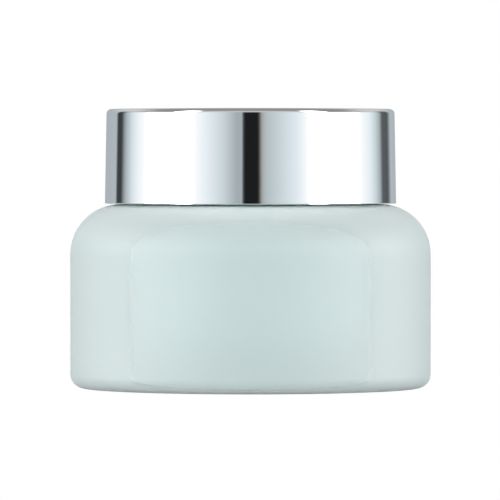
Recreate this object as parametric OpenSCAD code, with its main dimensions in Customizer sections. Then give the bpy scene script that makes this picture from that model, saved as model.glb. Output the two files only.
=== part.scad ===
// Screw-top cosmetic cream jar, in millimetres.
// A thick-walled frosted glass jar, a sealing disc in its mouth, and a screw cap made of
// a metallised shell, a threaded inner cap and a foam liner.
// The origin is the centre of the foot, and +Z runs up the jar's axis.

/* [Glass jar] */
// Outside diameter of the jar
body_d = 62; // [58:0.5:76]
// Height of the jar from its foot to the top of its shoulder
body_h = 31.6; // [26:0.2:60]
// Thickness of the side wall
wall_t = 4.6; // [3:0.1:6]
// Thickness of the base, from foot to floor
base_t = 5.6; // [3.6:0.1:8]
// Thickness of the glass over the shoulder
roof_t = 4.2; // [3:0.1:6]
// Outside radius of the shoulder
shoulder_r = 8.6; // [5:0.1:10.4]
// Outside radius of the heel
heel_r = 2.4; // [1:0.1:3.6]
// Radius inside the jar between its wall and its floor
floor_r = 5; // [2:0.5:7]
// Radius inside the jar between its wall and its roof
roof_r = 6; // [2:0.5:7]
// Depth of the hollow under the base
punt_h = 0.9; // [0.4:0.1:1.6]
// Width of the flat ring that the jar stands on
foot_w = 3.8; // [2:0.1:6]

/* [Neck] */
// Diameter of the mouth
mouth_d = 36; // [29:0.5:44]
// Thickness of the glass in the neck
neck_t = 2.5; // [2:0.1:3.2]
// Height of the neck above the shoulder
neck_h = 11.9; // [10:0.1:16]
// Chamfer on the two edges of the rim
rim_chamfer = 0.5; // [0.2:0.1:0.8]

/* [Thread] */
// Number of thread starts
starts = 4; // [2:1:6]
// Height from one thread to the next
pitch = 3; // [2.7:0.1:3.8]
// Height of a thread over the wall that it stands on
thread_depth = 1.1; // [0.9:0.05:1.4]
// How far each thread runs round the neck, in degrees
thread_turn = 120; // [80:5:160]
// Distance from the rim down to the top end of the glass threads
thread_drop = 3; // [2.4:0.1:4]

/* [Cap] */
// Thickness of the shell's wall at its lower edge
shell_t = 1.45; // [1.2:0.05:2]
// Thickness of the shell's top
shell_top_t = 1.2; // [1:0.1:2.4]
// Draft of the shell's outside, in degrees
shell_draft = 1; // [0:0.25:1.5]
// Radius round the shell's top edge
shell_edge_r = 0.85; // [0.3:0.05:1.2]
// Thickness of the inner cap's wall
inner_t = 1.4; // [1.2:0.1:2]
// Thickness of the inner cap's top
inner_top_t = 1.1; // [0.8:0.1:2]
// Number of ribs that stop the inner cap turning in the shell
rib_count = 12; // [6:1:24]
// Width of one of those ribs
rib_w = 1; // [0.6:0.1:1.6]
// Height of one of those ribs over the shell's bore
rib_h = 0.55; // [0.4:0.05:0.7]

/* [Seal] */
// Thickness of the foam liner
liner_t = 1; // [0.8:0.1:2]
// Thickness of the sealing disc
disc_t = 0.8; // [0.6:0.05:1]
// Depth of the recess in the sealing disc
pan_h = 3.4; // [2.5:0.1:4]
// Length of the grip across that recess
grip_l = 16; // [8:1:22]
// Thickness of that grip
grip_t = 1.4; // [1:0.1:2]

/* [Clearances] */
// Gap from the shoulder up to the cap
skirt_gap = 0.12; // [0.1:0.02:0.8]
// Gap between two faces that press together when the cap is closed
seat_gap = 0.05; // [0.02:0.01:0.1]
// Gap between a thread's crest and the wall across from it
thread_clear = 0.4; // [0.3:0.05:0.6]
// Gap between the flanks of two mating threads
thread_play = 0.1; // [0.06:0.01:0.2]
// Gap all round between the inner cap and the shell
shell_fit = 0.2; // [0.1:0.05:0.4]
// Gap on each side of a rib in its slot
rib_fit = 0.15; // [0.1:0.05:0.3]
// Gap all round the sealing disc's plug in the mouth
plug_fit = 0.2; // [0.1:0.05:0.4]
// Gap all round the liner in the inner cap
liner_fit = 0.4; // [0.2:0.05:0.5]

/* [Hidden] */
$fn = 96;

over = 1; // how far a cutting shape runs past what it cuts
root = 0.2; // how far a thread or a rib is rooted in its wall
turn_step = 6; // degrees from one cross-section of a thread to the next
section_step = 30; // degrees from one point of a thread's rounded section to the next
run_out = 18; // degrees over which a thread grows from nothing to its full height
run_out_start = 0.1; // share of its full size that a thread has at its end, which its wall buries

// Glass
body_r = body_d / 2;
cavity_r = body_r - wall_t;
cavity_top = body_h - roof_t;
mouth_r = mouth_d / 2;
neck_r = mouth_r + neck_t;
rim_z = body_h + neck_h;
flat_r = body_r - shoulder_r; // where the shoulder's flat top ends
neck_chamfer = max(0, min(0.8, flat_r - neck_r)); // no wider than that flat top
throat_chamfer = 1.2; // chamfer where the mouth opens into the cavity
punt_r = body_r - heel_r - foot_w;
punt_chamfer = punt_h * 0.8;

// Heights of what is stacked on the rim
disc_z = rim_z + seat_gap; // underside of the sealing disc's flange
liner_z = disc_z + disc_t + seat_gap;
inner_roof_z = liner_z + liner_t + seat_gap; // underside of the inner cap's top
inner_top_z = inner_roof_z + inner_top_t;
shell_roof_z = inner_top_z + shell_fit; // underside of the shell's top
shell_top_z = shell_roof_z + shell_top_t;

// Radii of what is fitted round the neck
inner_bore_r = neck_r + thread_depth + thread_clear;
inner_r = inner_bore_r + inner_t;
shell_bore_r = inner_r + shell_fit;
shell_r = shell_bore_r + shell_t;
liner_r = inner_bore_r - liner_fit;

// Sealing disc
flange_r = neck_r - rim_chamfer * 0.6;
plug_r = mouth_r - plug_fit;
plug_edge_r = disc_t * 0.75;
pan_floor_z = disc_z + disc_t - pan_h; // the recess is measured from the flange's top
grip_gap = 0.4; // the grip stays this far below the flange's top
grip_edge_r = 1;

// Cap, from its lower edge up
shell_z = body_h + skirt_gap;
shell_h = shell_top_z - shell_z;
shell_top_r = shell_r - shell_h * tan(shell_draft);
shell_lip_r = 0.25; // radius on the shell's lower edge
snap_bead_r = 0.5; // section radius of the bead that holds the inner cap in the shell
snap_bite = 0.2; // how far that bead reaches under the inner cap
snap_z = shell_z + 0.8;
inner_z = snap_z + snap_bead_r;
lead_in = 0.5; // chamfer inside the inner cap's mouth
hold_bead_r = 0.35; // section radius of the bead that holds the liner up
hold_bite = 0.2; // how far that bead reaches under the liner
hold_z = liner_z - seat_gap - hold_bead_r;
rib_z = inner_z + 1;

// Threads
lead = pitch * starts; // rise in one full turn
thread_rise = lead * thread_turn / 360;
glass_thread_z = rim_z - thread_drop - thread_rise;
// The cap's threads run midway between the jar's. Both are half ellipses whose centres are this
// far apart across the gap, and they are as wide as the play between their flanks allows.
thread_space = thread_depth + thread_clear + 2 * root;
thread_reach = thread_space / (2 * (thread_depth + root));
thread_w = (pitch / 2 - thread_play) / sqrt(1 - pow(thread_reach, 2));
cap_thread_z = glass_thread_z - pitch / 2;

// Rectangle in the radius and height plane, with its own radius on each corner
module rounded_rect(x0, x1, y0, y1, low_in = 0, low_out = 0, high_in = 0, high_out = 0) {
    difference() {
        translate([x0, y0]) square([x1 - x0, y1 - y0]);
        corner_waste(x0, y0, low_in, -1, -1);
        corner_waste(x1, y0, low_out, 1, -1);
        corner_waste(x0, y1, high_in, -1, 1);
        corner_waste(x1, y1, high_out, 1, 1);
    }
}

// What a corner radius takes off the corner at x, y that points towards dx, dy
module corner_waste(x, y, r, dx, dy) {
    if (r > 0)
        translate([x - dx * r, y - dy * r])
            difference() {
                mirror([dx < 0 ? 1 : 0, 0]) mirror([0, dy < 0 ? 1 : 0]) square(r + over);
                circle(r);
            }
}

// What a chamfer takes off a top corner at x, y that faces outwards if dx is 1, inwards if -1
module chamfer_waste(x, y, c, dx) {
    translate([x, y]) mirror([dx < 0 ? 1 : 0, 0])
        polygon([[-c - over, over], [over, -c - over], [over, over]]);
}

// Sloping web in the corner at x, y that opens outwards and upwards
module chamfer_web(x, y, c) {
    translate([x, y]) polygon([[-root, -root], [c, -root], [c, 0], [0, c], [-root, c]]);
}

// Share of its full size that a thread has at an angle along it
function run_share(angle) =
    min(1, run_out_start + (1 - run_out_start) * min(angle, thread_turn - angle) / run_out);

// One cross-section of a thread on a wall at wall_r: half an ellipse about a centre inside the
// wall, standing out if side is 1 or in if it is -1
function thread_section(wall_r, side, angle) =
    let (
        share = run_share(angle),
        z = thread_rise * angle / thread_turn
    )
    [
        for (a = [-90 : section_step : 90])
            let (r = wall_r + side * ((thread_depth + root) * share * cos(a) - root))
            [r * cos(angle), r * sin(angle), z + thread_w / 2 * sqrt(share) * sin(a)]
    ];

// Closed surface through a list of cross-sections that all have the same number of points
module loft(sections, outward) {
    n = len(sections[0]);
    last = len(sections) - 1;
    sides = [
        for (i = [0 : last - 1], j = [0 : n - 1])
            let (a = i * n + j, b = i * n + (j + 1) % n)
            each [[a, b, b + n], [a, b + n, a + n]]
    ];
    ends = [[for (j = [n - 1 : -1 : 0]) j], [for (j = [0 : n - 1]) last * n + j]];
    faces = concat(sides, ends);
    polyhedron(
        points = [for (s = sections) each s],
        faces = outward ? faces : [for (f = faces) [for (k = [len(f) - 1 : -1 : 0]) f[k]]]
    );
}

// All the starts of a thread on a wall at wall_r, rising from z
module threads(wall_r, side, z) {
    for (k = [0 : starts - 1])
        translate([0, 0, z]) rotate(k * 360 / starts)
            loft(
                [for (a = [0 : turn_step : thread_turn]) thread_section(wall_r, side, a)],
                side > 0
            );
}

module glass_outline() {
    difference() {
        union() {
            rounded_rect(0, body_r, 0, body_h, low_out = heel_r, high_out = shoulder_r);
            rounded_rect(0, neck_r, body_h - shoulder_r, rim_z);
            chamfer_web(neck_r, body_h, neck_chamfer);
        }
        // Inside of the jar
        rounded_rect(-over, cavity_r, base_t, cavity_top, low_out = floor_r, high_out = roof_r);
        translate([-over, base_t + floor_r]) square([mouth_r + over, rim_z]);
        chamfer_web(mouth_r, cavity_top, throat_chamfer);
        chamfer_waste(mouth_r, rim_z, rim_chamfer, -1);
        chamfer_waste(neck_r, rim_z, rim_chamfer, 1);
        // Hollow under the base
        polygon([
            [-over, -over], [punt_r, -over], [punt_r, punt_h - punt_chamfer],
            [punt_r - punt_chamfer, punt_h], [-over, punt_h]
        ]);
    }
}

module glass_jar() {
    color("#cfe6e1") {
        rotate_extrude() glass_outline();
        threads(neck_r, 1, glass_thread_z);
    }
}

module disc_outline() {
    // Flange
    rounded_rect(plug_r - disc_t, flange_r, disc_z, disc_z + disc_t, high_out = disc_t * 0.4);
    // Plug wall and floor
    difference() {
        rounded_rect(0, plug_r, pan_floor_z - disc_t, disc_z + disc_t / 2, low_out = plug_edge_r);
        rounded_rect(
            -over, plug_r - disc_t, pan_floor_z, disc_z + disc_t, low_out = plug_edge_r * 0.6
        );
    }
}

// Upright fin across the recess, to pull the disc out by
module grip() {
    grip_h = disc_z + disc_t - grip_gap - pan_floor_z;
    translate([0, grip_t / 2, pan_floor_z])
        rotate([90, 0, 0])
            linear_extrude(grip_t)
                rounded_rect(
                    -grip_l / 2, grip_l / 2, -disc_t / 2, grip_h,
                    high_in = grip_edge_r, high_out = grip_edge_r
                );
}

module sealing_disc() {
    color("#eef3f2") {
        rotate_extrude() disc_outline();
        grip();
    }
}

module foam_liner() {
    color("white")
        translate([0, 0, liner_z]) cylinder(h = liner_t, r = liner_r);
}

module inner_cap_outline() {
    difference() {
        rounded_rect(0, inner_r, inner_z, inner_top_z, high_out = inner_t * 0.4);
        translate([-over, inner_z - over]) square([inner_bore_r + over, inner_roof_z - inner_z + over]);
        polygon([
            [inner_bore_r - over, inner_z - over],
            [inner_bore_r + lead_in + over, inner_z - over],
            [inner_bore_r - over, inner_z + lead_in + over]
        ]);
    }
    // Bead that holds the liner up
    translate([liner_r - hold_bite + hold_bead_r, hold_z]) circle(hold_bead_r);
    translate([liner_r - hold_bite + hold_bead_r, hold_z - hold_bead_r])
        square([inner_bore_r - liner_r + root, 2 * hold_bead_r]);
}

module inner_cap() {
    slot_floor_r = shell_bore_r - rib_h - rib_fit;
    color("#f4f5f4") {
        difference() {
            rotate_extrude() inner_cap_outline();
            for (k = [0 : rib_count - 1])
                rotate(k * 360 / rib_count)
                    translate([slot_floor_r, -rib_w / 2 - rib_fit, inner_z - over])
                        cube([inner_t + over, rib_w + 2 * rib_fit, shell_top_z]);
        }
        threads(inner_bore_r, -1, cap_thread_z);
    }
}

module shell_outline() {
    edge_z = shell_top_z - shell_edge_r;
    difference() {
        union() {
            polygon([
                [0, shell_z], [shell_r, shell_z], [shell_top_r, edge_z],
                [shell_top_r - shell_edge_r, shell_top_z], [0, shell_top_z]
            ]);
            translate([shell_top_r - shell_edge_r, edge_z]) circle(shell_edge_r);
        }
        translate([-over, shell_z - over])
            square([shell_bore_r + over, shell_roof_z - shell_z + over]);
        corner_waste(shell_r, shell_z, shell_lip_r, 1, -1);
    }
    // Bead that the inner cap snaps over
    translate([inner_r - snap_bite + snap_bead_r, snap_z]) circle(snap_bead_r);
}

module cap_shell() {
    color("silver") {
        rotate_extrude() shell_outline();
        for (k = [0 : rib_count - 1])
            rotate(k * 360 / rib_count)
                translate([shell_bore_r - rib_h, -rib_w / 2, rib_z])
                    cube([rib_h + root, rib_w, shell_roof_z + root - rib_z]);
    }
}

glass_jar();
sealing_disc();
foam_liner();
inner_cap();
cap_shell();
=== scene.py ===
"""Finished look of a screw-top cream jar: frosted glass, mirror cap, seals and a plain studio.

It is laid out as an add-on and run as a script. Lengths are in metres, the origin is the centre
of the jar's foot, and +Z runs up the jar's axis.
"""

import math
from collections import namedtuple

import bpy
from bpy.props import FloatProperty, FloatVectorProperty, IntProperty, PointerProperty
from bpy.types import Operator, Panel, PropertyGroup
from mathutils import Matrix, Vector


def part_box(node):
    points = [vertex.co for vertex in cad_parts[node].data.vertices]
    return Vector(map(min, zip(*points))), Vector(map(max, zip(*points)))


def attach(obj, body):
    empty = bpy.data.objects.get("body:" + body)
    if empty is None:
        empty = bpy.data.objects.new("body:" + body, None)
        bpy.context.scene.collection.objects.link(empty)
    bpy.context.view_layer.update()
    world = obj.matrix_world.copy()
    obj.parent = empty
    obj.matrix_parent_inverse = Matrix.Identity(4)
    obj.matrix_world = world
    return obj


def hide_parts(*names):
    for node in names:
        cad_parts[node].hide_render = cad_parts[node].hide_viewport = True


bl_info = {
    "name": "Cream jar",
    "version": (1, 0, 0),
    "blender": (4, 5, 0),
    "location": "View3D > Sidebar > Cream jar",
    "description": "Builds a frosted glass cream jar with a mirror-silver screw cap",
    "category": "Add Mesh",
}

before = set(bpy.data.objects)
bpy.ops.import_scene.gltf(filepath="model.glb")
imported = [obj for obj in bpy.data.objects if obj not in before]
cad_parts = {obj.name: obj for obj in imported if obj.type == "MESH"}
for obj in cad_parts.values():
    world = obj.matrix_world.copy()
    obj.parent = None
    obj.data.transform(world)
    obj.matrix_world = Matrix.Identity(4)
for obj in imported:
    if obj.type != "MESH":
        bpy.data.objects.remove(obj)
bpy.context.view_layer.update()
MM = 0.001

GLASS_LOW, GLASS_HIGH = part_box("glass_jar")
DISC_LOW, DISC_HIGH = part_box("sealing_disc")
LINER_LOW, LINER_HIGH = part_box("foam_liner")
INNER_LOW, INNER_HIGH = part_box("inner_cap")
SHELL_LOW, SHELL_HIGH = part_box("cap_shell")


# ---------------------------------------------------------------- settings


def length(name, default, description):
    """A length that a user may change, given in millimetres."""
    return FloatProperty(
        name=name, default=default * MM, description=description,
        min=0.0, precision=5, subtype="DISTANCE", unit="LENGTH",
    )


def colour(name, default, description):
    """A colour that a user may change, as linear red, green and blue."""
    return FloatVectorProperty(
        name=name, default=default, description=description,
        size=3, min=0.0, max=1.0, subtype="COLOR",
    )


class GlassSizes(PropertyGroup):
    """Sizes of the glass jar."""

    body_h: length("Body height", 31.6, "From the foot to the top of the shoulder")
    wall: length("Wall", 4.6, "Thickness of the side wall")
    base: length("Base", 5.6, "Thickness of the base")
    roof: length("Roof", 4.2, "Thickness of the glass over the shoulder")
    shoulder_r: length("Shoulder radius", 8.6, "Outside radius of the shoulder")
    heel_r: length("Heel radius", 2.4, "Outside radius of the heel")
    floor_r: length("Floor radius", 5.0, "Radius between the cavity's wall and floor")
    roof_r: length("Roof radius", 6.0, "Radius between the cavity's wall and roof")
    punt_h: length("Punt height", 0.9, "Depth of the hollow under the base")
    foot_w: length("Foot width", 3.8, "Width of the ring that the jar stands on")
    mouth_r: length("Mouth radius", 18.0, "Radius of the mouth")
    neck: length("Neck wall", 2.5, "Thickness of the glass in the neck")
    neck_fillet: length("Neck fillet", 0.8, "Radius where the neck meets the shoulder")
    throat_r: length("Throat radius", 1.2, "Radius where the mouth opens into the cavity")
    rim_r: length("Rim radius", 0.5, "Radius on the two edges of the rim")


class ThreadSizes(PropertyGroup):
    """Sizes of the screw thread on the neck and in the cap."""

    starts: IntProperty(name="Starts", default=4, min=1, description="Number of thread starts")
    pitch: length("Pitch", 3.0, "Height from one thread to the next")
    depth: length("Depth", 1.08, "Height of a thread over its wall")
    width: length("Width", 1.96, "Width of a thread at its wall")
    turn: FloatProperty(
        name="Turn", default=math.radians(120), subtype="ANGLE", unit="ROTATION",
        description="How far each thread runs round the neck",
    )
    run_out: FloatProperty(
        name="Run-out", default=math.radians(18), subtype="ANGLE", unit="ROTATION",
        description="How far a thread takes to reach its full height",
    )
    drop: length("Drop", 3.0, "From the rim down to the top end of the glass threads")


class CapSizes(PropertyGroup):
    """Sizes of the cap's shell and its inner cap."""

    shell_top: length("Shell top", 1.2, "Thickness of the shell's top")
    shell_bore_r: length("Shell bore", 23.6, "Inside radius of the shell")
    draft: FloatProperty(
        name="Draft", default=math.radians(1), subtype="ANGLE", unit="ROTATION",
        description="Slope of the shell's side",
    )
    edge_r: length("Top edge radius", 0.85, "Radius round the shell's top edge")
    lip_r: length("Lip radius", 0.12, "Radius on the shell's lower edge")
    bead_r: length("Snap bead radius", 0.5, "Section radius of the bead under the inner cap")
    bead_z: length("Snap bead height", 0.8, "From the shell's lower edge up to the bead")
    bead_bite: length("Snap bead bite", 0.2, "How far the bead reaches under the inner cap")
    inner_bore_r: length("Inner bore", 22.0, "Inside radius of the inner cap")
    inner_top: length("Inner top", 1.1, "Thickness of the inner cap's top")
    lead_in: length("Lead-in", 0.5, "Chamfer inside the inner cap's mouth")
    hold_r: length("Liner bead radius", 0.35, "Section radius of the bead under the liner")
    hold_bite: length("Liner bead bite", 0.2, "How far that bead reaches under the liner")
    hold_gap: length("Liner bead gap", 0.05, "Gap between the liner and that bead")
    ribs: IntProperty(name="Ribs", default=12, min=1, description="Ribs that lock the two caps")
    rib_w: length("Rib width", 1.0, "Width of one of those ribs")
    rib_h: length("Rib height", 0.55, "Height of one of those ribs over the bore")
    rib_fit: length("Rib fit", 0.15, "Gap round a rib in its slot")
    rib_gap: length("Rib start", 1.0, "From the inner cap's lower edge up to the ribs")


class SealSizes(PropertyGroup):
    """Sizes of the sealing disc and the foam liner."""

    disc: length("Disc", 0.8, "Thickness of the sealing disc")
    pan: length("Recess", 3.4, "Depth of the recess in the sealing disc")
    plug_fit: length("Plug fit", 0.2, "Gap all round the disc's plug in the mouth")
    grip_l: length("Grip length", 16.0, "Length of the grip across the recess")
    grip_t: length("Grip thickness", 1.4, "Thickness of that grip")
    grip_gap: length("Grip gap", 0.4, "From the flange's top down to the grip's top")
    skin: length("Skin", 0.12, "Rounding of the liner's cut edges")


class Finishes(PropertyGroup):
    """Colours of the materials."""

    glass: colour("Glass", (0.73, 0.857, 0.85), "Colour of the etched surface")
    lining: colour("Glass inside", (0.95, 0.99, 0.98), "Colour of the satin surface inside")
    glass_depth: colour("Glass depth", (0.765, 0.94, 0.96), "Tint that builds up through the glass")
    silver: colour("Silver", (0.93, 0.94, 0.95), "Colour of the mirror coat")
    shell_plastic: colour("Shell plastic", (0.80, 0.81, 0.81), "Colour of the shell's bare inside")
    cap_plastic: colour("Cap plastic", (0.84, 0.85, 0.85), "Colour of the inner cap")
    disc_plastic: colour("Disc plastic", (0.86, 0.90, 0.90), "Colour of the sealing disc")
    foam: colour("Foam", (0.90, 0.90, 0.88), "Colour of the liner")


class StudioSettings(PropertyGroup):
    """Camera and lights."""

    distance: length("Camera distance", 1000.0, "From the camera to the jar's axis")
    height: length("Camera height", 40.0, "Height of the camera over the table")
    aim: length("Aim", 23.70, "Height on the jar's axis that the camera looks at")
    aside: length("Aside", 0.09, "How far the camera stands to the left of the jar's axis")
    lens: FloatProperty(name="Lens", default=418.4, min=1.0, description="Focal length in mm")
    strip: FloatProperty(
        name="Strip lights", default=20.0, min=0.0, description="Brightness of the strip lights"
    )
    strip_top: FloatProperty(
        name="Strip tops", default=5.0, min=0.0, description="Brightness of the strips' tops"
    )
    panel: FloatProperty(
        name="Side panels", default=2.1, min=0.0, description="Brightness of the white panels"
    )
    fill: FloatProperty(
        name="Fill", default=0.6, min=0.0, description="Brightness of the fill above the camera"
    )
    room: FloatProperty(
        name="Room", default=0.22, min=0.0, description="Brightness of the room above the ring"
    )
    back: FloatProperty(
        name="Back", default=0.62, min=0.0, description="Brightness of the room behind the jar"
    )
    right: FloatProperty(
        name="Right side", default=0.92, min=0.0,
        description="Brightness of the lights on the right, as a share of those on the left",
    )
    ceiling: FloatProperty(
        name="Ceiling", default=0.3, min=0.0, description="Brightness straight overhead"
    )
    table: FloatProperty(
        name="Table", default=0.13, min=0.0, description="Brightness of the lit table"
    )


class CreamJarSettings(PropertyGroup):
    """All the settings of the jar."""

    glass: PointerProperty(type=GlassSizes)
    thread: PointerProperty(type=ThreadSizes)
    cap: PointerProperty(type=CapSizes)
    seal: PointerProperty(type=SealSizes)
    finish: PointerProperty(type=Finishes)
    studio: PointerProperty(type=StudioSettings)


# ---------------------------------------------------------------- node trees


class Wire:
    """An output socket. Arithmetic on it adds Math nodes to its tree."""

    def __init__(self, graph, socket):
        self.graph = graph
        self.socket = socket

    def at(self, name):
        """Another output of the same node."""
        return Wire(self.graph, self.socket.node.outputs[name])

    def math(self, operation, *others):
        return self.graph.math(operation, self, *others)

    def __add__(self, other):
        return self.math("ADD", other)

    def __radd__(self, other):
        return self.math("ADD", other)

    def __sub__(self, other):
        return self.math("SUBTRACT", other)

    def __rsub__(self, other):
        return self.graph.math("SUBTRACT", other, self)

    def __mul__(self, other):
        return self.math("MULTIPLY", other)

    def __rmul__(self, other):
        return self.math("MULTIPLY", other)

    def __truediv__(self, other):
        return self.math("DIVIDE", other)

    def __pow__(self, other):
        return self.math("POWER", other)

    def __abs__(self):
        return self.math("ABSOLUTE")

    def __lt__(self, other):
        return self.math("LESS_THAN", other)

    def __gt__(self, other):
        return self.math("GREATER_THAN", other)

    def clamped(self):
        """The value kept from 0 to 1."""
        return self.math("MINIMUM", 1.0).math("MAXIMUM", 0.0)


class Graph:
    """Adds nodes to one tree, and links them."""

    def __init__(self, tree):
        self.tree = tree

    def node(self, kind, settings=None, inputs=None, output=0):
        """A new node's output. Settings are set first, then its sockets' values or links."""
        made = self.tree.nodes.new(kind)
        for name, value in (settings or {}).items():
            if name == "stops":
                self.set_stops(made.color_ramp, value)
            else:
                setattr(made, name, value)
        for key, value in (inputs or {}).items():
            if isinstance(value, Wire):
                self.tree.links.new(value.socket, made.inputs[key])
            else:
                made.inputs[key].default_value = value
        return Wire(self, made.outputs[output]) if made.outputs else made

    @staticmethod
    def set_stops(ramp, stops):
        """Gives a colour ramp its stops, each a place and a grey level or a colour."""
        while len(ramp.elements) < len(stops):
            ramp.elements.new(1.0)
        for element, (place, value) in zip(ramp.elements, stops):
            rgb = (value,) * 3 if isinstance(value, (int, float)) else tuple(value)
            element.position = place
            element.color = rgb + (1.0,)

    def math(self, operation, *values):
        return self.node(
            "ShaderNodeMath", {"operation": operation}, dict(enumerate(values))
        )

    def mix(self, share, a, b):
        """Colour a where share is 0, and b where it is 1."""
        a, b = (c if isinstance(c, Wire) else (*c, 1.0) for c in (a, b))
        return self.node(
            "ShaderNodeMix", {"data_type": "RGBA"}, {0: share, 6: a, 7: b}, output=2
        )

    def grey(self, value):
        """A number as a grey colour."""
        return self.node("ShaderNodeCombineXYZ", inputs={0: value, 1: value, 2: value})

    def scaled(self, tint, factor):
        """A colour times a number."""
        return self.node("ShaderNodeVectorMath", {"operation": "SCALE"}, {0: tint, 3: factor})

    def split(self, vector):
        """The x, y and z of a vector."""
        x = self.node("ShaderNodeSeparateXYZ", inputs={0: vector})
        return x, x.at("Y"), x.at("Z")

    def cells(self, vector, size):
        """Distance from the middle of round cells about size metres across, from 0 to 1."""
        voronoi = self.node("ShaderNodeTexVoronoi", None, {"Vector": vector, "Scale": 1.0 / size})
        return voronoi.clamped()

    def noise(self, vector, size, detail=2.0, roughness=0.5, distortion=0.0):
        """Noise from 0 to 1 whose features are about size metres across."""
        return self.node(
            "ShaderNodeTexNoise", None,
            {
                "Vector": vector, "Scale": 1.0 / size, "Detail": detail,
                "Roughness": roughness, "Distortion": distortion,
            },
        )


# ---------------------------------------------------------------- round bodies

# A corner of an outline: its radius and height, the radius that rounds it, the spacing of the
# rows on the run to the next corner, and whether that run is on the inside
Corner = namedtuple("Corner", "r z fillet row inside", defaults=(0.0, 1.5 * MM, False))

ARC_STEP = math.radians(7.5)
STRAIGHT = 1e-4
CREASE = math.radians(35)
BEAD_ROUND = 0.95
THREAD_FORM = 1.35
COLUMNS = {"glass": 288, "disc": 192, "liner": 192, "inner_cap": 240, "shell": 384}
WELD = 0.0005 * MM
GUARD = 0.02 * MM
THREAD_ROW = 0.14 * MM


def rounded(before, corner, after):
    """The points that round one corner of an outline."""
    here = Vector((corner.r, corner.z))
    to_before = (Vector((before.r, before.z)) - here).normalized()
    to_after = (Vector((after.r, after.z)) - here).normalized()
    turn = math.pi - to_before.angle(to_after)
    if corner.fillet <= 0 or turn < STRAIGHT:
        return [here]
    reach = corner.fillet * math.tan(turn / 2)
    middle = (to_before + to_after).normalized()
    centre = here + middle * (corner.fillet / math.cos(turn / 2))
    first = here + to_before * reach - centre
    last = here + to_after * reach - centre
    steps = max(2, math.ceil(turn / ARC_STEP))
    return [
        centre + (first * math.sin((1 - i / steps) * turn) + last * math.sin(i / steps * turn))
        / math.sin(turn)
        for i in range(steps + 1)
    ]


def outline_rows(corners):
    """The points of a whole outline, each with whether it is on the inside."""
    rows = []
    for i, corner in enumerate(corners):
        ends = 0 < i < len(corners) - 1
        arc = rounded(corners[i - 1], corner, corners[i + 1]) if ends else [
            Vector((corner.r, corner.z))
        ]
        if rows:
            start = rows[-1][0]
            run = corners[i - 1]
            reach = (arc[0] - start).length
            count = max(1, math.ceil(reach / run.row))
            shares = [k / count for k in range(1, count)]
            if reach > 8 * GUARD:
                shares = [GUARD / reach, *shares, 1 - GUARD / reach]
            rows += [(start.lerp(arc[0], share), run.inside) for share in sorted(shares)]
        rows += [(p, corner.inside) for p in arc]
    return rows


def bead(wall_r, tip_r, z, half, row):
    """A rounded ring that stands inwards from a bore at height z, met from above."""
    curve = min(half, wall_r - tip_r) * BEAD_ROUND
    return [
        Corner(wall_r, z + half, 0.0, row),
        Corner(tip_r, z + half, curve, row),
        Corner(tip_r, z - half, curve, row),
        Corner(wall_r, z - half, 0.0, row),
    ]


def tree_input(tree, name, kind):
    """A named input of a node group."""
    return tree.interface.new_socket(name=name, in_out="INPUT", socket_type=kind)


def new_tree(name, inputs):
    """A geometry node group with these inputs, and its graph and input sockets."""
    tree = bpy.data.node_groups.new(name, "GeometryNodeTree")
    tree_input(tree, "Geometry", "NodeSocketGeometry")
    for label, kind in inputs.items():
        tree_input(tree, label, kind)
    tree.interface.new_socket(
        name="Geometry", in_out="OUTPUT", socket_type="NodeSocketGeometry"
    )
    graph = Graph(tree)
    return tree, graph, graph.node("NodeGroupInput")


def finish_tree(graph, geometry, material, is_inside, inside_material):
    """Ends a tree: real geometry, with its two materials."""
    real = graph.node("GeometryNodeRealizeInstances", inputs={0: geometry})
    painted = graph.node(
        "GeometryNodeSetMaterial", inputs={"Geometry": real, "Material": material}
    )
    painted = graph.node(
        "GeometryNodeSetMaterial",
        inputs={"Geometry": painted, "Selection": is_inside, "Material": inside_material},
    )
    graph.node("NodeGroupOutput", inputs={0: painted})


def crease(graph, geometry, angle):
    """Smooth faces, with edges sharper than angle left crisp."""
    smooth = graph.node("GeometryNodeSetShadeSmooth", inputs={0: geometry})
    sharp = graph.node("GeometryNodeInputMeshEdgeAngle") > angle
    return graph.node(
        "GeometryNodeSetShadeSmooth", {"domain": "EDGE"}, {0: smooth, 1: sharp, 2: False}
    )


def thread_height(graph, turns, z, size):
    """Height of the nearest thread, from the share of a turn round the neck and the height."""
    lead = size("Pitch") * size("Starts")
    above = z - size("Foot") - lead * turns
    off = above - size("Pitch") * (above / size("Pitch")).math("ROUND")
    share = (z - off - size("Foot")) / (lead * size("Turn"))
    end = (share.math("MINIMUM", 1.0 - share) * size("Turn") / size("Run-out")).clamped()
    half = size("Width") * 0.5 * end.math("SQRT").math("MAXIMUM", 0.001)
    across = (abs(off) / half).clamped()
    return size("Depth") * end * (across * (math.pi / 2)).math("COSINE").clamped() ** THREAD_FORM


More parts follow.
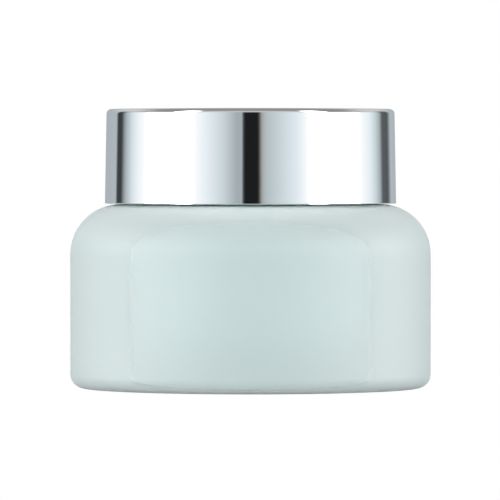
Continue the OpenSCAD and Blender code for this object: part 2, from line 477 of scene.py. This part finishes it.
def lathe_tree():
    """Turns an outline into a round body, and raises a screw thread on one of its walls.

    The turned grid faces outwards, and the Flip Faces node then turns it inside out. That is a
    fault, and the look of the glass is set for it.
    """
    tree, graph, source = new_tree(
        "Turned body",
        {
            "Columns": "NodeSocketInt",
            "Starts": "NodeSocketInt",
            "Pitch": "NodeSocketFloat",
            "Width": "NodeSocketFloat",
            "Depth": "NodeSocketFloat",
            "Turn": "NodeSocketFloat",
            "Run-out": "NodeSocketFloat",
            "Foot": "NodeSocketFloat",
            "Thread wall": "NodeSocketFloat",
            "Side": "NodeSocketFloat",
            "Crease": "NodeSocketFloat",
            "Inside material": "NodeSocketMaterial",
            "Material": "NodeSocketMaterial",
        },
    )
    outline = source
    rows = graph.node("GeometryNodeAttributeDomainSize", inputs={0: outline})
    grid = graph.node(
        "GeometryNodeMeshGrid",
        inputs={0: 1.0, 1: 1.0, 2: source.at("Columns") + 1, 3: rows},
    )
    x, y, _ = graph.split(graph.node("GeometryNodeInputPosition"))
    turns = x + 0.5
    row = ((y + 0.5) * (rows - 1)).math("ROUND")
    place = graph.node(
        "GeometryNodeSampleIndex", {"data_type": "FLOAT_VECTOR"},
        {0: outline, 1: graph.node("GeometryNodeInputPosition"), 2: row},
    )
    r, inside, z = graph.split(place)
    on_wall = abs(r - source.at("Thread wall")) < WELD
    height = thread_height(graph, turns, z, source.at)
    r = r + source.at("Side") * on_wall * height
    angle = turns * (2 * math.pi)
    turned = graph.node(
        "ShaderNodeCombineXYZ",
        inputs={0: r * angle.math("COSINE"), 1: r * angle.math("SINE"), 2: z},
    )
    marked = graph.node(
        "GeometryNodeStoreNamedAttribute", {"data_type": "FLOAT", "domain": "POINT"},
        {"Geometry": grid, "Name": "inside", "Value": inside},
    )
    body = graph.node("GeometryNodeSetPosition", inputs={"Geometry": marked, "Position": turned})
    body = graph.node(
        "GeometryNodeMergeByDistance", inputs={"Geometry": body, "Distance": WELD}
    )
    body = graph.node("GeometryNodeFlipFaces", inputs={0: body})
    is_inside = graph.node(
        "GeometryNodeInputNamedAttribute", {"data_type": "FLOAT"}, {"Name": "inside"}
    ) > 0.75
    finish_tree(
        graph, crease(graph, body, source.at("Crease")), source.at("Material"),
        is_inside, source.at("Inside material"),
    )
    return tree


def lug_tree(operation):
    """Repeats a lug round the axis, and joins it to a body or cuts it out of the body.

    The circle that places the lugs needs three points, so a count of 1 or 2 adds none, and the
    sealing disc has no grip. Lugs joined to a body keep their back faces inside its wall.
    """
    tree, graph, source = new_tree(
        f"Lugs {operation.lower()}",
        {
            "Count": "NodeSocketInt",
            "Radius": "NodeSocketFloat",
            "Height": "NodeSocketFloat",
            "Lug size": "NodeSocketVector",
            "Crease": "NodeSocketFloat",
            "Bore": "NodeSocketFloat",
            "Bore top": "NodeSocketFloat",
            "Inside material": "NodeSocketMaterial",
            "Material": "NodeSocketMaterial",
        },
    )
    ring = graph.node(
        "GeometryNodeMeshCircle", inputs={0: source.at("Count"), 1: source.at("Radius")}
    )
    lug = graph.node("GeometryNodeMeshCube", inputs={0: source.at("Lug size")})
    turn = graph.node("GeometryNodeInputIndex") / source.at("Count") * (2 * math.pi)
    spin = graph.node(
        "FunctionNodeAxisAngleToRotation", inputs={0: (0.0, 0.0, 1.0), 1: turn}
    )
    lugs = graph.node(
        "GeometryNodeInstanceOnPoints",
        inputs={"Points": ring, "Instance": lug, "Rotation": spin},
    )
    up = graph.node("ShaderNodeCombineXYZ", inputs={2: source.at("Height")})
    lugs = graph.node(
        "GeometryNodeTransform", inputs={"Geometry": lugs, "Translation": up}
    )
    lugs = graph.node("GeometryNodeRealizeInstances", inputs={0: lugs})
    joined = graph.node(
        "GeometryNodeMeshBoolean", {"operation": operation, "solver": "MANIFOLD"}
    )
    boolean = joined.socket.node
    if operation == "UNION":
        graph.tree.links.new(source.socket, boolean.inputs["Mesh 2"])
        graph.tree.links.new(lugs.socket, boolean.inputs["Mesh 2"])
    else:
        graph.tree.links.new(source.socket, boolean.inputs["Mesh 1"])
        graph.tree.links.new(lugs.socket, boolean.inputs["Mesh 2"])
    x, y, z = graph.split(graph.node("GeometryNodeInputPosition"))
    in_bore = ((x * x + y * y).math("SQRT") < source.at("Bore")) * (z < source.at("Bore top"))
    finish_tree(
        graph, crease(graph, joined, source.at("Crease")), source.at("Material"),
        in_bore > 0.5, source.at("Inside material"),
    )
    return tree


def trees():
    """The node groups, made once for all the operators."""
    made = bpy.data.node_groups
    return {
        "lathe": made.get("Turned body") or lathe_tree(),
        "add": made.get("Lugs union") or lug_tree("UNION"),
        "cut": made.get("Lugs difference") or lug_tree("DIFFERENCE"),
    }


def apply_tree(piece, tree, values):
    """Runs a node group on a piece, and keeps the result as its plain mesh."""
    modifier = piece.modifiers.new("Shape", "NODES")
    modifier.node_group = tree
    sockets = {
        s.name: s.identifier for s in tree.interface.items_tree if s.in_out == "INPUT"
    }
    for name, value in values.items():
        modifier[sockets[name]] = value
    bpy.context.view_layer.update()
    shaped = piece.evaluated_get(bpy.context.evaluated_depsgraph_get())
    mesh = bpy.data.meshes.new_from_object(shaped)
    piece.modifiers.remove(modifier)
    old, piece.data = piece.data, mesh
    bpy.data.meshes.remove(old)
    mesh.name = piece.name
    return piece


def turned_body(name, corners, columns, material, inside=None, thread=None):
    """A round piece with this outline, which runs with the material on its left."""
    rows = outline_rows(corners)
    mesh = bpy.data.meshes.new(name)
    mesh.from_pydata(
        [(p.x, 1.0 if is_inside else 0.0, p.y) for p, is_inside in rows],
        [(i, i + 1) for i in range(len(rows) - 1)], [],
    )
    piece = bpy.data.objects.new(name, mesh)
    bpy.context.scene.collection.objects.link(piece)
    values = {
        "Columns": columns, "Starts": 1, "Pitch": MM, "Width": MM, "Depth": 0.0,
        "Turn": 1.0, "Run-out": 1.0, "Foot": 0.0, "Thread wall": 0.0, "Side": 0.0,
        "Crease": CREASE, "Material": material, "Inside material": inside or material,
    }
    values.update(thread or {})
    return apply_tree(piece, trees()["lathe"], values)


def with_lugs(piece, operation, lug, material, inside=None, bore=(0.0, 0.0)):
    """Adds a ring of lugs to a piece, or cuts it out, and repaints the piece."""
    values = {
        "Crease": CREASE, "Bore": bore[0] + GUARD, "Bore top": bore[1] + GUARD,
        "Material": material, "Inside material": inside or material,
    }
    return apply_tree(piece, trees()[operation], {**lug, **values})


def finish_piece(piece, node, body):
    """Puts a piece in its CAD node's place."""
    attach(piece, body)
    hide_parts(node)


# ---------------------------------------------------------------- materials


def new_material(name):
    """A material with a Principled shader, its graph and Object coordinates."""
    made = bpy.data.materials.get(name)
    if made:
        return made, None, None, None
    made = bpy.data.materials.new(name)
    made.use_nodes = True
    tree = made.node_tree
    tree.nodes.clear()
    graph = Graph(tree)
    shader = graph.node("ShaderNodeBsdfPrincipled")
    graph.node("ShaderNodeOutputMaterial", inputs={"Surface": shader})
    place = graph.node("ShaderNodeTexCoord").at("Object")
    return made, graph, shader.socket.node, place


def dress(graph, shader, constants, links):
    """Sets a shader's plain values, and links what varies over the surface."""
    for name, value in constants.items():
        shader.inputs[name].default_value = value
    for name, wire in links.items():
        graph.tree.links.new(wire.socket, shader.inputs[name])


def bump(graph, height, depth, strength=1.0, normal=None):
    """A normal from a height from 0 to 1, which stands for depth metres."""
    inputs = {"Strength": strength, "Distance": depth, "Height": height}
    if normal:
        inputs["Normal"] = normal
    return graph.node("ShaderNodeBump", None, inputs)


GLASS_IOR = 1.5
CLEAR_SHARE = 0.52
DEPTH_DENSITY = 34.0


def frosted_glass():
    """Acid-etched outside of the jar."""
    finish = bpy.context.scene.cream_jar.finish
    made, graph, shader, place = new_material("etched_aqua_glass")
    if not graph:
        return made
    cloud = graph.noise(place, 14 * MM, detail=3.0)
    grain = graph.noise(place, 0.22 * MM, detail=2.0, roughness=0.6)
    pits = graph.cells(place, 0.6 * MM)
    sag = graph.noise(place, 20 * MM, detail=1.0)
    tint = Vector(finish.glass)
    etched = graph.mix(cloud, tuple(tint * 0.98), tuple(tint))
    smooth = bump(graph, sag, 0.15 * MM, 0.3)
    dress(
        graph, shader,
        {"IOR": GLASS_IOR, "Transmission Weight": CLEAR_SHARE},
        {
            "Base Color": graph.mix(pits, etched, tuple(tint * 0.99)),
            "Roughness": 0.54 + 0.08 * cloud + 0.06 * grain - 0.04 * pits,
            "Normal": bump(graph, grain + 0.5 * pits, 0.012 * MM, 0.5, smooth),
        },
    )
    add_depth(graph)
    return made


def satin_glass():
    """Satin inside of the jar."""
    finish = bpy.context.scene.cream_jar.finish
    made, graph, shader, place = new_material("satin_aqua_glass")
    if not graph:
        return made
    waves = graph.noise(place, 9 * MM, detail=1.0)
    dress(
        graph, shader,
        {
            "IOR": GLASS_IOR, "Transmission Weight": CLEAR_SHARE,
            "Base Color": (*finish.lining, 1.0),
        },
        {
            "Roughness": 0.54 + 0.08 * waves,
            "Normal": bump(graph, waves, 0.08 * MM, 0.4),
        },
    )
    add_depth(graph)
    return made


def add_depth(graph):
    """Gives a glass material its depth tint, an absorption inside the body's surface."""
    finish = bpy.context.scene.cream_jar.finish
    output = next(n for n in graph.tree.nodes if n.type == "OUTPUT_MATERIAL")
    depth = graph.node(
        "ShaderNodeVolumeAbsorption", None,
        {"Color": (*finish.glass_depth, 1.0), "Density": DEPTH_DENSITY},
    )
    graph.tree.links.new(depth.socket, output.inputs["Volume"])


def mirror_coat():
    """Metallised outside of the shell."""
    finish = bpy.context.scene.cream_jar.finish
    made, graph, shader, place = new_material("silver_mirror_coat")
    if not graph:
        return made
    peel = graph.noise(place, 2.5 * MM, detail=2.0)
    smear = graph.noise(place, 11 * MM, detail=4.0, roughness=0.6)
    specks = (0.10 - graph.cells(place, 1.4 * MM)) * 10.0
    silver = Vector(finish.silver)
    dress(
        graph, shader,
        {"Metallic": 1.0},
        {
            "Base Color": graph.mix(smear, tuple(silver), tuple(silver * 0.98)),
            "Roughness": 0.02 + 0.035 * smear + 0.05 * specks.clamped(),
            "Normal": bump(graph, peel, 0.004 * MM, 0.35),
        },
    )
    return made


def plastic(name, tint, grain_size, gloss, depth):
    """A moulded plastic with a fine satin grain and faint flow marks."""
    made, graph, shader, place = new_material(name)
    if not graph:
        return made
    grain = graph.noise(place, grain_size, detail=2.0)
    flow = graph.noise(place, 7 * MM, detail=3.0, distortion=1.5)
    sink = graph.noise(place, 5 * MM, detail=1.0)
    tint = Vector(tint)
    dress(
        graph, shader,
        {"IOR": 1.49, "Subsurface Weight": 0.15, "Subsurface Scale": 1.5 * MM},
        {
            "Base Color": graph.mix(flow, tuple(tint * 0.96), tuple(tint)),
            "Roughness": gloss + 0.12 * flow,
            "Normal": bump(graph, grain, depth, 0.6, bump(graph, sink, 0.05 * MM, 0.3)),
        },
    )
    return made


def foam():
    """Closed-cell foam of the liner, with its cell pattern painted darker towards the bottom of
    each cell's hollow as painted shade.
    """
    finish = bpy.context.scene.cream_jar.finish
    made, graph, shader, place = new_material("white_liner_foam")
    if not graph:
        return made
    cells = graph.cells(place, 0.35 * MM)
    press = graph.noise(place, 3 * MM, detail=2.0)
    tint = Vector(finish.foam)
    dress(
        graph, shader,
        {"IOR": 1.4},
        {
            # Painted shade: the foam's colour darkens towards the bottom of each cell's hollow,
            # where the bump dips
            "Base Color": graph.mix(cells, tuple(tint * 0.90), tuple(tint)),
            "Roughness": 0.70 + 0.15 * cells + 0.06 * press,
            "Normal": bump(graph, cells, 0.05 * MM, 0.7, bump(graph, press, 0.1 * MM, 0.4)),
        },
    )
    return made


# ---------------------------------------------------------------- pieces


def thread_values(size, wall, side, foot):
    """The lathe's inputs for a screw thread."""
    return {
        "Starts": size.starts, "Pitch": size.pitch, "Width": size.width, "Depth": size.depth,
        "Turn": size.turn / (2 * math.pi), "Run-out": size.run_out / (2 * math.pi),
        "Thread wall": wall, "Side": side, "Foot": foot,
    }


def glass_thread_foot(size):
    """Height at which the glass threads start."""
    rise = size.pitch * size.starts * size.turn / (2 * math.pi)
    return GLASS_HIGH.z - size.drop - rise


class CREAMJAR_OT_glass(Operator):
    """Make the glass jar, frosted outside and satin inside"""

    bl_idname = "creamjar.glass"
    bl_label = "Glass jar"

    def execute(self, context):
        size = context.scene.cream_jar.glass
        thread = context.scene.cream_jar.thread
        body_r, rim_z = GLASS_HIGH.x, GLASS_HIGH.z
        cavity_r, cavity_top = body_r - size.wall, size.body_h - size.roof
        neck_r = size.mouth_r + size.neck
        punt_r = body_r - size.heel_r - size.foot_w
        corners = [
            Corner(0.0, size.punt_h),
            Corner(punt_r, size.punt_h, size.punt_h * 0.8),
            Corner(punt_r, 0.0),
            Corner(body_r, 0.0, size.heel_r),
            Corner(body_r, size.body_h, size.shoulder_r),
            Corner(neck_r, size.body_h, size.neck_fillet, THREAD_ROW),
            Corner(neck_r, rim_z, size.rim_r),
            Corner(size.mouth_r, rim_z, size.rim_r, inside=True),
            Corner(size.mouth_r, cavity_top, size.throat_r, inside=True),
            Corner(cavity_r, cavity_top, size.roof_r, inside=True),
            Corner(cavity_r, size.base, size.floor_r, inside=True),
            Corner(0.0, size.base, inside=True),
        ]
        piece = turned_body(
            "frosted_glass_jar", corners, COLUMNS["glass"], frosted_glass(), satin_glass(),
            thread_values(thread, neck_r, 1.0, glass_thread_foot(thread)),
        )
        finish_piece(piece, "glass_jar", "jar")
        return {"FINISHED"}


class CREAMJAR_OT_disc(Operator):
    """Make the sealing disc; its grip is asked for, but a lug count of 1 adds none"""

    bl_idname = "creamjar.disc"
    bl_label = "Sealing disc"

    def execute(self, context):
        size = context.scene.cream_jar.seal
        finish = context.scene.cream_jar.finish
        glass = context.scene.cream_jar.glass
        material = plastic("milky_polythene", finish.disc_plastic, 0.3 * MM, 0.38, 0.01 * MM)
        low, high = DISC_LOW.z, DISC_HIGH.z
        plug_r, floor_z = glass.mouth_r - size.plug_fit, low + size.disc
        corners = [
            Corner(0.0, low),
            Corner(plug_r, low, size.disc * 0.75),
            Corner(plug_r, high - size.disc, 0.15 * MM),
            Corner(DISC_HIGH.x, high - size.disc, 0.1 * MM),
            Corner(DISC_HIGH.x, high, size.disc * 0.4),
            Corner(plug_r - size.disc, high, 0.2 * MM),
            Corner(plug_r - size.disc, floor_z, size.disc * 0.45),
            Corner(0.0, floor_z),
        ]
        piece = turned_body("sealing_disc_with_grip", corners, COLUMNS["disc"], material)
        grip_h = high - size.grip_gap - low - size.disc / 2
        with_lugs(
            piece, "add",
            {
                "Count": 1, "Radius": 0.0, "Height": low + size.disc / 2 + grip_h / 2,
                "Lug size": (size.grip_l, size.grip_t, grip_h),
            },
            material,
        )
        finish_piece(piece, "sealing_disc", "disc")
        return {"FINISHED"}


class CREAMJAR_OT_liner(Operator):
    """Make the foam liner"""

    bl_idname = "creamjar.liner"
    bl_label = "Foam liner"

    def execute(self, context):
        size = context.scene.cream_jar.seal
        low, high = LINER_LOW.z, LINER_HIGH.z
        corners = [
            Corner(0.0, low),
            Corner(LINER_HIGH.x, low, size.skin),
            Corner(LINER_HIGH.x, high, size.skin),
            Corner(0.0, high),
        ]
        piece = turned_body("foam_liner_disc", corners, COLUMNS["liner"], foam())
        finish_piece(piece, "foam_liner", "liner")
        return {"FINISHED"}


class CREAMJAR_OT_inner_cap(Operator):
    """Make the threaded inner cap"""

    bl_idname = "creamjar.inner_cap"
    bl_label = "Inner cap"

    def execute(self, context):
        size = context.scene.cream_jar.cap
        thread = context.scene.cream_jar.thread
        finish = context.scene.cream_jar.finish
        material = plastic("white_polypropylene", finish.cap_plastic, 0.25 * MM, 0.28, 0.006 * MM)
        low, high, outer_r = INNER_LOW.z, INNER_HIGH.z, INNER_HIGH.x
        bore_r, roof_z = size.inner_bore_r, high - size.inner_top
        hold_z = LINER_LOW.z - size.hold_gap - size.hold_r
        hold_tip = LINER_HIGH.x - size.hold_bite
        corners = [
            Corner(0.0, roof_z),
            Corner(bore_r, roof_z, 0.2 * MM, THREAD_ROW),
            *bead(bore_r, hold_tip, hold_z, size.hold_r, THREAD_ROW),
            Corner(bore_r, low + size.lead_in),
            Corner(bore_r + size.lead_in, low),
            Corner(outer_r, low, 0.1 * MM),
            Corner(outer_r, high, 0.5 * MM),
            Corner(0.0, high),
        ]
        piece = turned_body(
            "threaded_inner_cap", corners, COLUMNS["inner_cap"], material, None,
            thread_values(thread, bore_r, -1.0, glass_thread_foot(thread) - thread.pitch / 2),
        )
        floor_r = size.shell_bore_r - size.rib_h - size.rib_fit
        reach = 2 * (outer_r - floor_r)
        with_lugs(
            piece, "cut",
            {
                "Count": size.ribs, "Radius": floor_r + reach / 2, "Height": (low + high) / 2,
                "Lug size": (reach, size.rib_w + 2 * size.rib_fit, (high - low) * 1.2),
            },
            material,
        )
        finish_piece(piece, "inner_cap", "cap")
        return {"FINISHED"}


class CREAMJAR_OT_shell(Operator):
    """Make the mirror-silver shell of the cap"""

    bl_idname = "creamjar.shell"
    bl_label = "Cap shell"

    def execute(self, context):
        size = context.scene.cream_jar.cap
        finish = context.scene.cream_jar.finish
        low, high = SHELL_LOW.z, SHELL_HIGH.z
        outer_r = SHELL_HIGH.x
        top_r = outer_r - (high - low) * math.tan(size.draft)
        bore_r, roof_z = size.shell_bore_r, high - size.shell_top
        bead_tip = INNER_HIGH.x - size.bead_bite
        corners = [
            Corner(0.0, roof_z),
            Corner(bore_r, roof_z),
            *bead(bore_r, bead_tip, low + size.bead_z, size.bead_r * 0.98, 1.5 * MM),
            Corner(bore_r, low),
            Corner(outer_r, low, size.lip_r),
            Corner(top_r, high, size.edge_r),
            Corner(0.0, high),
        ]
        piece = turned_body("silver_cap_shell", corners, COLUMNS["shell"], mirror_coat())
        bare = plastic("bare_shell_plastic", finish.shell_plastic, 0.4 * MM, 0.30, 0.008 * MM)
        rib_z, reach = INNER_LOW.z + size.rib_gap, size.rib_h * 1.3
        with_lugs(
            piece, "add",
            {
                "Count": size.ribs, "Radius": bore_r - size.rib_h + reach / 2,
                "Height": (rib_z + roof_z) / 2,
                "Lug size": (reach, size.rib_w, (roof_z - rib_z) * 1.01),
            },
            mirror_coat(), bare, (bore_r, roof_z),
        )
        finish_piece(piece, "cap_shell", "cap")
        return {"FINISHED"}


# ---------------------------------------------------------------- studio

# The ring of light round the jar, from behind, past the left side, the front and the right side,
# to behind again. Each stop has its share of the whole turn, and its brightness or its colour.
RING_LEFT = (
    (0.000, 0.42),
    (0.1245, 0.47),
    (0.1340, 0.05),
    (0.154, 0.05),
    (0.172, 0.41),
    (0.200, 0.76),
    (0.222, 0.91),
    (0.245, 1.00),
    (0.370, 1.00),
    (0.400, 0.87),
    (0.441, 0.65),
    (0.470, 0.41),
    (0.4805, 0.42),
    (0.4850, 0.012),
    (0.5155, 0.012),
    (0.5185, (0.030, 0.025, 0.017)),
    (0.5250, (0.38, 0.38, 0.37)),
    (0.534, 0.51),
    (0.602, 0.82),
    (0.632, 1.00),
)
RING_RIGHT = (
    (0.000, 1.00),
    (0.768, 1.00),
    (0.804, 0.86),
    (0.828, 0.65),
    (0.848, 0.40),
    (0.860, 0.11),
    (0.890, 0.09),
    (0.902, 0.26),
    (0.914, 0.47),
    (1.000, 0.42),
)


def cool_stops(stops):
    """The same stops with the studio's cool tint on their greys, which the white ones lose."""
    less_red, more_blue, whitening = 0.11, 0.05, 0.8
    cool = []
    for place, value in stops:
        if isinstance(value, float) and value < 1.0:
            tint = 1.0 - max(0.0, value - whitening) / (1.0 - whitening)
            value = (value * (1.0 - less_red * tint), value, value * (1.0 + more_blue * tint))
        cool.append((place, value))
    return cool


# Edges of the lights, each with where it starts and how wide its fade is. Round the jar they are
# cosines from the camera's side: 1 towards the camera, 0 at either side and -1 behind.
STRIP_OUTER = (0.40, 1 / 12)
STRIP_INNER = (0.66, 1 / 20)
FILL_EDGE = (0.66, 1 / 8)
RIGHT_EDGE = (0.0, 1 / 3)
BACK_EDGE = (0.0, 1 / 2)

# The same upwards, in degrees over the horizon
RING_TOP = (12.0, 14.0)
CEILING_EDGE = (38.0, 12.0)

# How bright a stop of the ring is when it belongs to a white panel, what the whole ring is
# multiplied by, and the share of a turn where its right half takes over
WHITE_STOP = (0.98, 1 / 50)
RING_GAIN = 1.07
HALVES_MEET = 0.7


def fade(value, start, width):
    """0 up to start, 1 from a width further on, and a straight rise between."""
    return ((value - start) / width).clamped()


def light_room(size):
    """The light round the jar.

    Two tall strip lights stand at the front left and right with a white panel beside each, a
    soft fill hangs above the camera, and the room is dim at the sides and overhead and
    brighter behind.
    """
    world = bpy.data.worlds.new("studio")
    world.use_nodes = True
    world.node_tree.nodes.clear()
    graph = Graph(world.node_tree)
    way = graph.node("ShaderNodeTexCoord")
    x, y, z = graph.split(way)
    flat = (x * x + y * y).math("SQRT")
    share = 0.5 + x.math("ARCTAN2", 0.0 - y) / (2 * math.pi)
    left = graph.node("ShaderNodeValToRGB", {"stops": cool_stops(RING_LEFT)}, {0: share})
    right = graph.node("ShaderNodeValToRGB", {"stops": cool_stops(RING_RIGHT)}, {0: share})
    ring = graph.mix(share > HALVES_MEET, left, right)
    white = fade(graph.node("ShaderNodeRGBToBW", inputs={0: ring}), *WHITE_STOP)
    facing = 0.0 - y / flat
    strip = fade(facing, *STRIP_OUTER) * (1.0 - fade(facing, *STRIP_INNER))
    fill = fade(facing, *FILL_EDGE)
    side = 1.0 - (1.0 - size.right) * fade(x / flat, *RIGHT_EDGE)
    behind = fade(0.0 - facing, *BACK_EDGE)
    panel = side * (size.panel + (size.strip - size.panel) * strip)
    low = graph.scaled(ring, RING_GAIN * (1.0 + (panel - 1.0) * white))
    high = size.room + size.strip_top * side * strip + (size.fill - size.room) * fill
    high = high + (size.back - size.room) * behind
    degrees = z.math("ARCTAN2", flat) * (180 / math.pi)
    sides = graph.mix(fade(degrees, *RING_TOP), low, graph.grey(high))
    around = graph.mix(fade(degrees, *CEILING_EDGE), sides, (size.ceiling,) * 3)
    lit = graph.node("ShaderNodeBackground", None, {"Color": around, "Strength": 1.0})
    clean = graph.node(
        "ShaderNodeBackground", None, {"Color": (1.0, 1.0, 1.0, 1.0), "Strength": 1.0}
    )
    seen = graph.node("ShaderNodeLightPath")
    both = graph.node("ShaderNodeMixShader", None, {0: seen, 1: lit, 2: clean})
    graph.node("ShaderNodeOutputWorld", inputs={0: both})
    bpy.context.scene.world = world


def lay_table(size):
    """The pale lit table that the jar stands on."""
    mesh = bpy.data.meshes.new("table")
    reach, grey = 4.0, 0.3
    mesh.from_pydata(
        [(-reach, -reach, 0), (reach, -reach, 0), (reach, reach, 0), (-reach, reach, 0)],
        [], [(0, 1, 2, 3)],
    )
    table = bpy.data.objects.new("table", mesh)
    bpy.context.scene.collection.objects.link(table)
    made = bpy.data.materials.new("lit_table")
    made.use_nodes = True
    made.node_tree.nodes.clear()
    graph = Graph(made.node_tree)
    glow = graph.node("ShaderNodeEmission", None, {"Color": (1, 1, 1, 1), "Strength": size.table})
    top = graph.node("ShaderNodeBsdfDiffuse", None, {"Color": (grey, grey, grey, 1)})
    shown = graph.node("ShaderNodeAddShader", None, {0: glow, 1: top})
    clean = graph.node("ShaderNodeEmission", None, {"Color": (1, 1, 1, 1), "Strength": 1.0})
    seen = graph.node("ShaderNodeLightPath")
    shown = graph.node("ShaderNodeMixShader", None, {0: seen, 1: shown, 2: clean})
    gone = graph.node("ShaderNodeBsdfTransparent")
    under = graph.node("ShaderNodeNewGeometry").at("Backfacing")
    both = graph.node("ShaderNodeMixShader", None, {0: under, 1: shown, 2: gone})
    graph.node("ShaderNodeOutputMaterial", inputs={0: both})
    mesh.materials.append(made)


def place_camera(size):
    """The camera, a long lens from far off and a little above the table."""
    lens = bpy.data.cameras.new("camera")
    lens.lens = size.lens
    lens.sensor_width = 36.0
    lens.clip_start, lens.clip_end = 0.05, 20.0
    camera = bpy.data.objects.new("camera", lens)
    camera.location = (-size.aside, -size.distance, size.height)
    look = Vector((-size.aside, 0.0, size.aim)) - camera.location
    camera.rotation_mode = "QUATERNION"
    camera.rotation_quaternion = look.to_track_quat("-Z", "Y")
    bpy.context.scene.collection.objects.link(camera)
    bpy.context.scene.camera = camera


class CREAMJAR_OT_studio(Operator):
    """Set up the table, the lights and the camera"""

    bl_idname = "creamjar.studio"
    bl_label = "Studio"

    def execute(self, context):
        size = context.scene.cream_jar.studio
        context.scene.view_settings.view_transform = "Standard"
        light_room(size)
        lay_table(size)
        place_camera(size)
        return {"FINISHED"}


# ---------------------------------------------------------------- add-on


OPERATORS = (
    CREAMJAR_OT_studio,
    CREAMJAR_OT_glass,
    CREAMJAR_OT_disc,
    CREAMJAR_OT_liner,
    CREAMJAR_OT_inner_cap,
    CREAMJAR_OT_shell,
)


class CREAMJAR_PT_panel(Panel):
    """Lists the steps that build the jar"""

    bl_idname = "CREAMJAR_PT_panel"
    bl_label = "Cream jar"
    bl_space_type = "VIEW_3D"
    bl_region_type = "UI"
    bl_category = "Cream jar"

    def draw(self, context):
        for operator in OPERATORS:
            self.layout.operator(operator.bl_idname)


GROUPS = (
    GlassSizes, ThreadSizes, CapSizes, SealSizes, Finishes, StudioSettings, CreamJarSettings,
)
CLASSES = GROUPS + OPERATORS + (CREAMJAR_PT_panel,)


def register():
    for made in CLASSES:
        bpy.utils.register_class(made)
    bpy.types.Scene.cream_jar = PointerProperty(type=CreamJarSettings)


def unregister():
    del bpy.types.Scene.cream_jar
    for made in reversed(CLASSES):
        bpy.utils.unregister_class(made)


def main():
    register()
    for operator in OPERATORS:
        group, name = operator.bl_idname.split(".")
        getattr(getattr(bpy.ops, group), name)()


if __name__ == "__main__":
    main()
